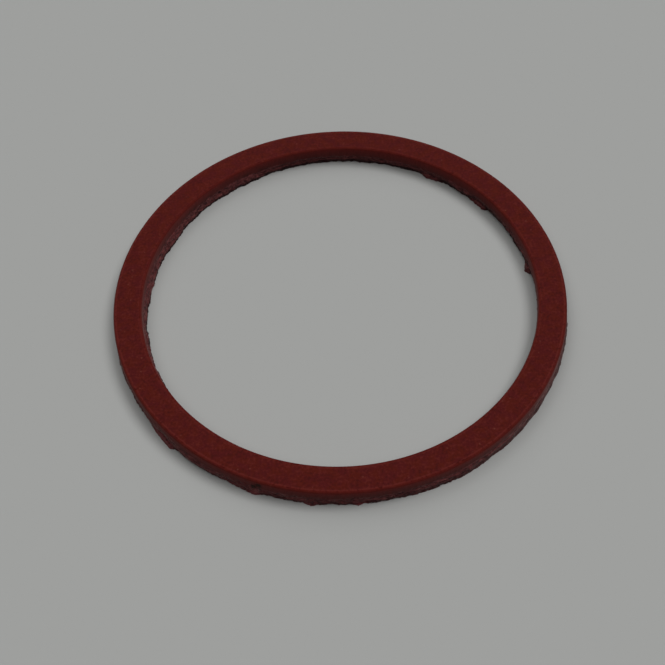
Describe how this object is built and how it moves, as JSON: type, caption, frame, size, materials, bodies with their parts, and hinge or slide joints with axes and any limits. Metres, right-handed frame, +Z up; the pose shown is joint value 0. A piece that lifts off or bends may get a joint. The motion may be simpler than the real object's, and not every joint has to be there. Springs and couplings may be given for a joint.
{
  "type": "oil tank cap washer",
  "caption": "Flat red fibre sealing ring, die-cut, with smooth sheared lands, rolled top edges and a ragged torn lip at the bottom of both walls.",
  "frame": {"origin": "centre of the ring on the bottom face that it rests on", "axes": "+Z up along the bore axis, from the torn bottom face to the clean top face; -Y towards the near side in the picture, +X to its right"},
  "size_m": [0.0511, 0.0513, 0.0023],
  "materials": {
    "red_fibre": "matte"
  },
  "bodies": {
    "root": {"fibre_washer": "red_fibre"}
  },
  "joints": []
}
